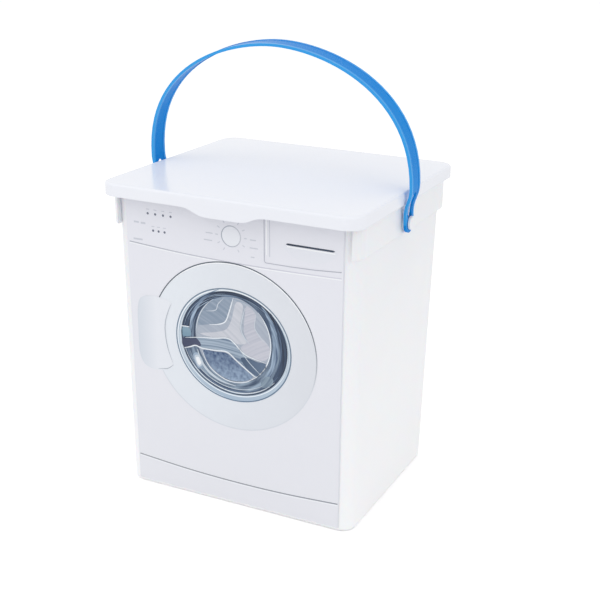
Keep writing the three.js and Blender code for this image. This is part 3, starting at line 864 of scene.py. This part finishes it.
@dataclass(frozen=True)
class ControlPanel:
    """The printed panel: dots, knob and powder drawer."""

    SEAM_LAYER = -13

    edge: float = 81.4
    film_edge: tuple[Spot, Spot] = ((82.1, 3.2), (83.0, 227.8))
    knob: Oval = Oval(0.1, 206.5, 7.6, 7.6)
    upper_dots: tuple[Spot, ...] = ((-65.3, 213.7), (-59.3, 213.7), (-53.0, 213.7), (-46.9, 213.7))
    lower_dots: tuple[Spot, ...] = ((-61.5, 201.7), (-57.0, 201.7), (-52.2, 201.7))
    dot_radius: float = 0.85
    drawer_left: float = 25.2
    drawer_top: float = 226.0
    grip: tuple[float, float, float] = (41.3, 76.5, 207.2)

    def build(self, front: Front) -> None:
        """Prints the panel.

        Args:
            front: The front that it is printed on.
        """
        self.print_seams(front)
        self.print_lines(front)
        self.print_drawer(front)
        self.print_knob(front)
        self.print_dots(front)

    def print_lines(self, front: Front) -> None:
        """Prints the panel's lower line and the plinth's line, each with a pale one below it."""
        rows = (
            ("panel", (191.3, 188.9, 188.0, 188.3, 189.5), 0.75, PANEL_LINE, 0.9, 0.7),
            ("plinth", (23.1, 20.2, 19.1, 19.7, 22.1), 0.9, PLINTH_LINE, 1.0, 0.8),
        )
        for name, heights, width, ink, drop, shine_width in rows:
            spots = list(zip((-self.edge, -40, 0, 40, self.edge), heights))
            lower = [(x, height - drop) for x, height in spots]
            front.line(f"{name}_edge", through(spots), width, 0, ink, [f"{name}_line"])
            front.line(f"{name}_edge_shine", through(lower), shine_width, 0, PALE_LINE)

    def print_seams(self, front: Front) -> None:
        """Closes the hairline gap under the film's two long edges."""
        (foot_x, foot), (top_x, top) = self.film_edge
        for name, side in (("left", -1), ("right", 1)):
            spots = [(side * foot_x, foot), (side * top_x, top)]
            front.line(f"film_{name}_seam", spots, 0.8, self.SEAM_LAYER, FILM)

    def print_drawer(self, front: Front) -> None:
        """Prints the powder drawer and its grip."""
        left, top = self.drawer_left, self.drawer_top
        bend = 1.7
        corner = Oval(left + bend, 193.5, bend, bend)
        edge = [(left, top), (left, 205.0), *corner.arc(180, 262, 8), (45.0, 191.9), (62.0, 192.4),
                (self.edge, 193.8)]
        front.line("drawer_edge", edge, 0.6, 2, DRAWER_LINE, ["drawer_outline"])
        front.line("drawer_edge_shine", [(left + 1.8, top), (left + 1.8, 197.5)], 0.8, 1, PALE_LINE)
        front.line("drawer_second_edge", [(left + 4.0, top), (left + 4.0, 196.5)], 0.5, 2, FAINT_LINE)
        start, end, height = self.grip
        hollow = through([(start, height), (end, height), (end - 4, height - 7.5),
                          ((start + end) / 2, height - 10.5), (start + 4, height - 7.5)], 6, closed=True)
        front.field("drawer_hollow", hollow, 0, GRIP_HOLLOW)
        front.line("drawer_grip_slot", through([(start, height), ((start + end) / 2, height),
                                                (end, height)]), 1.3, 3, GRIP_INK, ["drawer_grip"],
                   taper=0.06)
        front.line("drawer_grip_shine", [(start + 0.6, height - 1.6), (end + 0.2, height - 1.6)], 0.9, 2,
                   PALE_LINE)

    def print_knob(self, front: Front) -> None:
        """Prints the programme knob with plain marks round it."""
        front.field("knob_face", self.knob.arc(0, 360, 48)[:-1], 0, KNOB_FACE)
        front.ring("knob_edge", self.knob, 0.7, 1, KNOB_LINE, ["knob_ring"], 48)
        for index, degrees in enumerate(range(-60, 241, 30)):
            spots = [self.knob.at(degrees, -2.4), self.knob.at(degrees, -4.4)]
            front.line(f"knob_mark_{index + 1}", spots, 0.7, 0, FAINT_LINE)
        bars = [(-21.0, -14.5, 201.4), (-19.5, -14.0, 206.6), (14.2, 20.4, 200.6), (14.6, 19.0, 206.2),
                (15.0, 17.8, 194.2)]
        for index, (start, end, height) in enumerate(bars):
            front.line(f"programme_bar_{index + 1}", [(start, height), (end, height)], 0.8, 0, FAINT_LINE)

    def print_dots(self, front: Front) -> None:
        """Prints the two rows of indicator dots with plain marks beside them."""
        for row, spots in (("upper", self.upper_dots), ("lower", self.lower_dots)):
            for index, (x, height) in enumerate(spots):
                dot = Oval(x, height, self.dot_radius, self.dot_radius)
                front.field(f"{row}_light_{index + 1}", dot.arc(0, 360, 16)[:-1], 1, DOT_INK,
                            [f"{row}_dot_{index + 1}"])
                front.line(f"{row}_light_mark_{index + 1}",
                           [(x - 1.2, height + 3.0), (x + 1.2, height + 3.0)], 0.6, 0, FAINT_LINE)
        bars = [(-77.0, -73.0, 206.3), (-71.4, -67.6, 206.1), (-78.0, -70.5, 193.8)]
        for index, (start, end, height) in enumerate(bars):
            front.line(f"panel_bar_{index + 1}", [(start, height), (end, height)], 1.3, 0, FAINT_LINE)


@dataclass(frozen=True)
class Door:
    """The printed door: its edge, its face and its recessed grip."""

    edge: Oval = Oval(-0.5, 125.2, 65.3, 62.7)

    def build(self, front: Front) -> None:
        """Prints the door.

        Args:
            front: The front that it is printed on.
        """
        front.field("door_face", self.edge.arc(0, 360, 96)[:-1], 0, DOOR_FACE)
        front.ring("door_edge", self.edge, 0.75, 2, DOOR_LINE, ["door_outline"], 120)
        front.crescent("door_edge_shine", self.edge, (8, 150), 0.9, (0.1, 0.8, 0.8, 0.8, 0.1), 2, PALE_LINE)
        grip = [(-48.9, 150.2), (-55.0, 152.4), (-66.0, 153.0), (-74.5, 149.8), (-77.3, 140.8),
                (-77.6, 124.8), (-77.3, 107.8), (-73.5, 98.8), (-65.0, 96.0), (-54.5, 98.0), (-49.2, 102.4),
                (-51.8, 110.8), (-54.4, 120.8), (-54.8, 129.2), (-53.4, 138.8), (-50.6, 146.4)]
        front.field("door_handle_face", through(grip, 6, closed=True), 3, HANDLE_FACE, ["door_grip"])
        front.line("door_handle_edge", through([(-48.9, 149.8), (-51.8, 143.3), (-54.3, 135.3),
                                                (-54.9, 127.3), (-53.4, 115.8), (-49.6, 104.2)]), 0.65, 4,
                   HANDLE_LINE, taper=0.25)
        front.line("door_handle_foot", through([(-48.9, 102.6), (-54.0, 98.8), (-62.0, 97.0)]), 0.6, 4,
                   HANDLE_LINE, taper=0.4)


@dataclass(frozen=True)
class Porthole:
    """The printed porthole, with its rim, seal, drum and water."""

    edge: Oval = Oval(-0.1, 126.7, 45.6, 42.2)
    seal: Oval = Oval(0.6, 128.25, 41.9, 38.5)
    window: Oval = Oval(0.4, 131.6, 29.8, 31.8)
    window_lip: Oval = Oval(0.4, 131.6, 30.2, 32.2)

    def build(self, front: Front) -> None:
        """Prints the porthole.

        Args:
            front: The front that it is printed on.
        """
        self.print_rim(front)
        self.print_seal(front)
        self.print_drum(front)
        self.print_vane(front)
        self.print_water(front)

    def print_rim(self, front: Front) -> None:
        """Prints the pale rim and its lines."""
        outer = self.edge.arc(0, 360, 120)[:-1]
        inner = self.seal.arc(0, 360, 120)[:-1]
        front.strip("rim_face", outer, inner, 3, RIM, ["porthole_rim"], closed=True)
        front.ring("rim_edge", self.edge, 0.85, 4, RIM_LINE)
        front.crescent("rim_shine", self.edge, (20, 260), 1.0, (0.2, 0.9, 0.9, 0.9, 0.7, 0.2), 4, RIM_SHINE)
        front.crescent("rim_inner_line", self.edge, (-20, 200), 2.1, (0.2, 0.5, 0.5, 0.5, 0.2), 4,
                       RIM_INNER_LINE)
        front.crescent("rim_lower_shine", self.seal, (190, 350), -1.3, (0.1, 0.7, 0.8, 0.7, 0.1), 4,
                       RIM_SHINE)

    def print_seal(self, front: Front) -> None:
        """Prints the seal between the rim and the window."""
        outer = self.seal.arc(0, 360, 120)[:-1]
        inner = self.window.arc(0, 360, 120)[:-1]
        front.strip("seal_face", outer, inner, 3, SEAL, ["porthole_seal"], closed=True)
        front.ring("seal_edge", self.seal, 0.8, 6, NAVY)
        front.crescent("seal_shadow", self.seal, (176, -58), 0.0, (8.2, 7.6, 5.4, 3.2, 4.2, 5.6, 5.4, 0.4),
                       4, NAVY)
        front.crescent("seal_left_channel", self.window, (190, 108), -5.2, (0.3, 2.2, 2.4, 2.0, 0.3), 5,
                       STEEL_BLUE)
        front.crescent("seal_left_shadow", self.window, (192, 104), -1.6, (1.0, 1.5, 1.4, 1.2, 0.3), 5, NAVY)
        front.crescent("seal_right_light", self.window, (56, -52), -5.6, (0.2, 2.4, 4.2, 4.6, 3.0, 0.2), 5,
                       STEEL_BLUE)
        front.crescent("seal_right_shadow", self.window, (40, -36), -8.0, (0.1, 1.0, 1.3, 0.9, 0.1), 5, SLATE)
        streaks = ((168, 98, 1.8), (160, 84, 3.6), (150, 60, 5.0), (128, 36, 2.6))
        for index, (start, end, inset) in enumerate(streaks):
            front.crescent(f"seal_streak_{index + 1}", self.seal, (start, end), inset,
                           (0.1, 0.45, 0.5, 0.4, 0.1), 6, STEEL_BLUE)
        front.crescent("seal_lower_light", self.seal, (196, 322), 1.3, (0.2, 0.6, 0.7, 0.6, 0.2), 5,
                       WHITE_LINE)
        front.crescent("seal_lower_line", self.seal, (190, 330), 2.2, (0.2, 0.9, 1.1, 0.9, 0.2), 5, SLATE)
        front.crescent("seal_second_light", self.seal, (200, 318), 4.2, (0.1, 0.5, 0.6, 0.5, 0.1), 5,
                       SOFT_WHITE)
        front.field("seal_left_patch", through([(-40.6, 133.6), (-34.8, 133.8), (-33.6, 128.4),
                                                (-40.8, 127.2)], 4, True), 6, TEAL)
        front.line("seal_left_line", [(-41.0, 134.4), (-37.8, 134.7), (-34.6, 134.7)], 0.7, 7, WHITE_LINE)
        front.field("seal_green_patch", through([(22.0, 103.4), (26.6, 108.8), (31.4, 107.6), (30.6, 103.4),
                                                 (27.0, 100.6), (23.4, 99.8)], 5, True), 6, GREENISH)
        glint = [(-30.5, 112.2), (-27.9, 113.8), (-25.3, 110.2), (-25.9, 107.2), (-28.3, 106.6)]
        middle_x, middle_height = -27.6, 110.0
        for name, grow, layer, ink in (("seal_halo", 1.6, 6, HALO), ("seal_inner_halo", 1.2, 7, SOFT_WHITE),
                                       ("seal_glint", 0.8, 8, GLINT)):
            spots = [(middle_x + (x - middle_x) * grow, middle_height + (height - middle_height) * grow)
                     for x, height in glint]
            front.field(name, through(spots, 5, True), layer, ink)

    def print_drum(self, front: Front) -> None:
        """Prints the drum behind the glass with its lobes."""
        front.field("drum_face", self.window.arc(0, 360, 96)[:-1], 4, DRUM, ["drum"])
        lobe = [(-27.1, 137.3), (-18.4, 139.6), (-11.2, 140.9), (-5.5, 144.0), (-2.5, 151.1), (-0.3, 158.1),
                (1.2, 162.9)]
        front.field("drum_left_lobe", [*through(lobe), *self.window.arc(92, 168, 20, 0.4)], 5, DRUM_SHADE)
        middle = [(-26.0, 131.4), (-14.0, 134.6), (-5.0, 138.4), (-0.6, 146.4), (3.0, 159.2), (8.6, 157.8),
                  (6.2, 143.8), (6.6, 138.2), (11.0, 131.4), (3.6, 128.8), (-4.0, 132.4), (-15.0, 130.4)]
        front.field("drum_middle", through(middle, 6, True), 5, DRUM_LIGHT)
        right = [(18.4, 153.4), (17.6, 144.2), (20.6, 139.4), (27.6, 132.6), (29.2, 127.8), (25.4, 120.6),
                 (14.0, 120.4), (6.4, 126.2), (11.4, 132.2), (9.0, 138.8), (9.8, 150.8), (11.6, 158.4)]
        front.field("drum_right", through(right, 6, True), 5, DRUM_LILAC)
        front.line("drum_left_lobe_edge", through(lobe[1:]), 0.9, 7, WHITE_LINE, taper=0.25)
        front.line("drum_left_lobe_shade", through([(x - 1.0, height + 0.9) for x, height in lobe[1:-1]]),
                   0.8, 6, DRUM_SHADE, taper=0.3)
        front.line("drum_small_lobe_edge", through([(-21.0, 149.2), (-13.1, 151.2), (-10.8, 156.3),
                                                    (-6.5, 161.0)]), 0.6, 7, SOFT_WHITE, taper=0.25)
        front.line("drum_middle_edge", through([(10.5, 157.4), (8.7, 151.8), (6.8, 143.6), (7.1, 139.0),
                                                (9.8, 134.1), (13.9, 130.3)]), 0.75, 7, SOFT_WHITE,
                   taper=0.25)
        front.line("drum_right_edge", through([(18.3, 153.5), (17.5, 144.2), (19.6, 140.0), (22.3, 136.5),
                                               (27.1, 132.8)]), 0.6, 7, SOFT_WHITE, taper=0.25)
        front.ring("window_edge", self.window_lip, 0.6, 8, SLATE)
        front.crescent("window_shine_right", self.window, (48, -62), 0.0, (0.2, 0.7, 0.8, 0.9, 0.7, 0.2), 9,
                       WHITE_LINE)
        front.crescent("window_shine_left", self.window, (186, 120), 0.0, (0.2, 0.8, 0.7, 0.2), 9, SOFT_WHITE)

    def print_vane(self, front: Front) -> None:
        """Prints the long vane that crosses the window."""
        band = [(-28.0, 127.4), (-14.3, 129.6), (-4.3, 131.4), (1.6, 128.8), (6.6, 124.2), (12.6, 119.2),
                (18.0, 114.2), (22.0, 109.6), (18.5, 107.1), (9.5, 112.0), (2.5, 116.8), (-4.5, 121.5),
                (-14.6, 120.9), (-28.0, 121.4)]
        front.field("vane_face", through(band, 6, True), 8, BAND, ["drum_band"])
        wedge = [(6.4, 118.6), (12.0, 119.8), (19.0, 118.4), (26.0, 117.8), (24.6, 112.2), (21.0, 107.6),
                 (17.6, 107.8), (11.0, 111.6)]
        front.field("vane_shadow", through(wedge, 6, True), 9, WEDGE)
        front.field("vane_root", through([(-40.4, 125.2), (-34.0, 126.2), (-28.6, 126.8), (-25.4, 122.4),
                                          (-30.0, 121.0), (-39.6, 119.0)], 5, True), 9, PATCH)
        front.line("vane_upper_edge", through([(-38.2, 126.0), (-25.9, 128.4), (-14.3, 129.9), (-4.3, 131.8),
                                               (1.3, 129.2), (6.1, 124.7), (10.8, 121.7), (16.6, 120.2),
                                               (25.6, 118.8)]), 0.9, 10, WHITE_LINE, taper=0.2)
        front.line("vane_second_edge", through([(4.5, 126.0), (8.8, 121.4), (13.2, 116.4), (22.6, 108.4)]),
                   0.55, 10, SOFT_WHITE, taper=0.2)
        front.line("vane_lower_edge", through([(-39.5, 117.9), (-34.5, 119.6), (-29.8, 121.5),
                                               (-24.7, 120.4), (-14.6, 120.7), (-4.5, 121.3), (2.5, 116.6),
                                               (9.5, 111.8), (15.7, 107.7), (18.5, 106.4)]), 0.95, 10,
                   WHITE_LINE, taper=0.12)

    def print_water(self, front: Front) -> None:
        """Prints the water under the vane."""
        pool = [(-23.6, 119.2), (-14.6, 119.8), (-4.8, 120.2), (2.0, 115.8), (9.0, 111.0), (15.4, 106.6),
                (10.7, 102.4), (2.2, 100.4), (-6.4, 101.0), (-15.0, 105.2), (-20.6, 111.0)]
        front.field("water_face", through(pool, 6, True), 9, POOL, ["wash_pool"])
        front.line("water_edge", through([(-24.2, 118.2), (-21.2, 110.6), (-15.6, 104.6), (-6.4, 100.1),
                                          (2.2, 99.4), (10.7, 101.5), (17.1, 105.9)]), 0.8, 10, WHITE_LINE,
                   taper=0.2)
        front.line("water_outer_light", through([(-28.4, 119.0), (-25.6, 110.8), (-19.6, 103.4),
                                                 (-9.6, 98.2), (2.0, 96.6)]), 2.0, 9, SOFT_WHITE, taper=0.4)


@dataclass(frozen=True)
class Rails:
    """Where the strap's raised edges lie about the studs' axis, in millimetres."""

    pivot_y: float = -5.0
    pivot_height: float = 211.5
    lean: float = 5.2
    eye_half_width: float = 7.0
    strap_half_width: float = 7.8
    taper_height: float = 27.0
    width: float = 2.0

    def hold(self, centre: Vector) -> bool:
        """Tells whether a face lies on a raised edge.

        Args:
            centre: The face's middle, in metres.

        Returns:
            Whether it does.
        """
        angle = math.radians(self.lean)
        y, z = centre.y / MM - self.pivot_y, centre.z / MM - self.pivot_height
        across = abs(y * math.cos(angle) + z * math.sin(angle))
        height = z * math.cos(angle) - y * math.sin(angle)
        share = min(max(height / self.taper_height, 0.0), 1.0)
        half = self.eye_half_width + (self.strap_half_width - self.eye_half_width) * share
        return height > 0 and across > half - self.width


class Mouldings:
    """The tub, the lid and the handle, as smooth pieces over the fixed frame."""

    SHARP_EDGE = math.radians(32)
    MERGE = 0.001 * MM

    def __init__(self, frame: dict, groups: Groups) -> None:
        """Keeps the frame and the groups.

        Args:
            frame: The fixed frame.
            groups: The shared shader node groups.
        """
        self.frame = frame
        self.groups = groups

    def build(self) -> None:
        """Makes the three mouldings."""
        self.smooth("tub", "tub_moulding", Body.TUB, WHITE_TUB, "white_plastic")
        self.smooth("lid", "lid_moulding", Body.LID, WHITE_LID, "gloss_white_plastic")
        strap = self.smooth("handle", "strap_handle", Body.HANDLE, BLUE_STRAP, "blue_plastic")
        # The raised edges get the lighter blue, a painted highlight along them
        strap.data.materials.append(BLUE_RAIL_HIGHLIGHT.build(self.groups))
        rails = Rails()
        for face in strap.data.polygons:
            face.material_index = int(rails.hold(face.center))

    def smooth(self, node: str, name: str, body: Body, finish: Moulding, slot: str) -> bpy.types.Object:
        """Makes a smooth piece in a node's form.

        Args:
            node: The node in the fixed frame.
            name: The piece's name.
            body: The body that it moves with.
            finish: Its finish.
            slot: The record's material slot; it is not used.

        Returns:
            The piece.
        """
        source = self.frame["nodes"][node].data

        def build(form: bmesh.types.BMesh) -> None:
            """Copies the node's faces, merges their corners and marks the real edges."""
            form.from_mesh(source)
            bmesh.ops.remove_doubles(form, verts=form.verts, dist=self.MERGE)
            for face in form.faces:
                face.smooth = True
            for edge in form.edges:
                edge.smooth = len(edge.link_faces) == 2 and edge.calc_face_angle(0) < self.SHARP_EDGE

        piece = new_piece(name, body, build)
        piece.data.materials.clear()
        piece.data.materials.append(finish.build(self.groups))
        weights = piece.modifiers.new("even_flats", "WEIGHTED_NORMAL")
        weights.keep_sharp = True
        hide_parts(node)
        return piece


@dataclass(frozen=True)
class Studio:
    """The camera, the floor, the backdrop and the lamps."""

    focal_pixels: float = 1163.60
    image_pixels: float = 600.0
    distance: float = 0.86292
    yaw: float = 25.50
    pitch: float = 19.35
    roll: float = 1.17
    target: tuple[float, float, float] = (0.01411, 0.0, 0.13906)
    sensor: float = 36.0
    floor_size: float = 14.0
    sky: float = 0.86
    floor_white: float = 0.94
    floor_glow: float = 0.2
    floor_drop: float = 0.02
    floor_roughness: float = 0.7

    def build(self) -> None:
        """Makes everything that stands round the object."""
        self.place_camera()
        self.lay_floor()
        self.paint_world()
        self.hang_lamps()
        bpy.context.scene.view_settings.view_transform = "Standard"

    def place_camera(self) -> None:
        """Places the camera at the photograph's angle."""
        yaw, pitch, roll = (math.radians(angle) for angle in (self.yaw, self.pitch, self.roll))
        back = Vector((math.sin(yaw) * math.cos(pitch), -math.cos(yaw) * math.cos(pitch), math.sin(pitch)))
        level = Vector((math.cos(yaw), math.sin(yaw), 0))
        right = level * math.cos(roll) + back.cross(level) * math.sin(roll)
        up = back.cross(right)
        data = bpy.data.cameras.new("photo_camera")
        data.sensor_width = self.sensor
        data.lens = self.focal_pixels / self.image_pixels * self.sensor
        camera = bpy.data.objects.new("photo_camera", data)
        place = Matrix((right, up, back)).transposed().to_4x4()
        place.translation = Vector(self.target) + back * self.distance
        camera.matrix_world = place
        bpy.context.scene.collection.objects.link(camera)
        bpy.context.scene.camera = camera

    def lay_floor(self) -> None:
        """Lays a plain white floor that keeps the object's shadow."""
        half = self.floor_size / 2
        mesh = bpy.data.meshes.new("floor")
        corners = [(-half, -half, 0), (half, -half, 0), (half, half, 0), (-half, half, 0)]
        mesh.from_pydata(corners, [], [(0, 1, 2, 3)])
        floor = bpy.data.objects.new("floor", mesh)
        floor.location.z = -self.floor_drop * MM
        bpy.context.scene.collection.objects.link(floor)
        material = bpy.data.materials.new("floor_white")
        material.use_nodes = True
        sheet = Sheet(material.node_tree)
        shader = material.node_tree.nodes["Principled BSDF"]
        seen = sheet.add("ShaderNodeLightPath").outputs["Is Camera Ray"]
        glow = sheet.add("ShaderNodeEmission")
        sheet.feed(glow, Strength=sheet.calc("MULTIPLY", seen, self.floor_glow))
        sheet.feed(shader, Base_Color=(*(self.floor_white,) * 3, 1), Roughness=self.floor_roughness)
        total = sheet.add("ShaderNodeAddShader")
        sheet.tree.links.new(shader.outputs[0], total.inputs[0])
        sheet.tree.links.new(glow.outputs[0], total.inputs[1])
        sheet.tree.links.new(total.outputs[0], material.node_tree.nodes["Material Output"].inputs["Surface"])
        mesh.materials.append(material)

    def paint_world(self) -> None:
        """Paints the sky, which is plain white where the camera or a reflection sees it."""
        world = bpy.data.worlds.new("studio")
        world.use_nodes = True
        bpy.context.scene.world = world
        sheet = Sheet(world.node_tree)
        path = sheet.add("ShaderNodeLightPath")
        direct = sheet.calc("MAXIMUM", path.outputs["Is Camera Ray"], path.outputs["Is Glossy Ray"])
        seen = sheet.calc("MAXIMUM", direct, path.outputs["Is Transmission Ray"])
        background = world.node_tree.nodes["Background"]
        strength = sheet.calc("ADD", sheet.calc("MULTIPLY", seen, 1 - self.sky), self.sky)
        sheet.feed(background, Color=(1, 1, 1, 1), Strength=strength)

    def hang_lamps(self) -> None:
        """Hangs two large soft lamps."""
        self.hang("key_lamp", (-0.7, -0.9, 1.5), 1.4, 5.0)
        self.hang("side_lamp", (1.3, -0.5, 0.9), 1.0, 2.0)

    def hang(self, name: str, place: tuple[float, float, float], size: float, power: float) -> None:
        """Hangs one square lamp that looks at the object.

        Args:
            name: The lamp's name.
            place: Where it hangs, in metres.
            size: The length of its sides.
            power: Its power, in watts.
        """
        data = bpy.data.lights.new(name, "AREA")
        data.size = size
        data.energy = power
        lamp = bpy.data.objects.new(name, data)
        lamp.location = place
        lamp.rotation_euler = (Vector(self.target) - Vector(place)).to_track_quat("-Z", "Y").to_euler()
        bpy.context.scene.collection.objects.link(lamp)


def main() -> None:
    """Builds the container's pieces, its print and the studio."""
    logging.basicConfig(level=logging.INFO, format="%(name)s %(message)s")
    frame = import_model()
    groups = Groups()
    Mouldings(frame, groups).build()
    front = Front(frame, groups)
    film = frame["nodes"]["front_film"]
    film.data.materials.clear()
    film.data.materials.append(FILM.build(groups))
    ControlPanel().build(front)
    Door().build(front)
    Porthole().build(front)
    Studio().build()


if __name__ == "__main__":
    main()
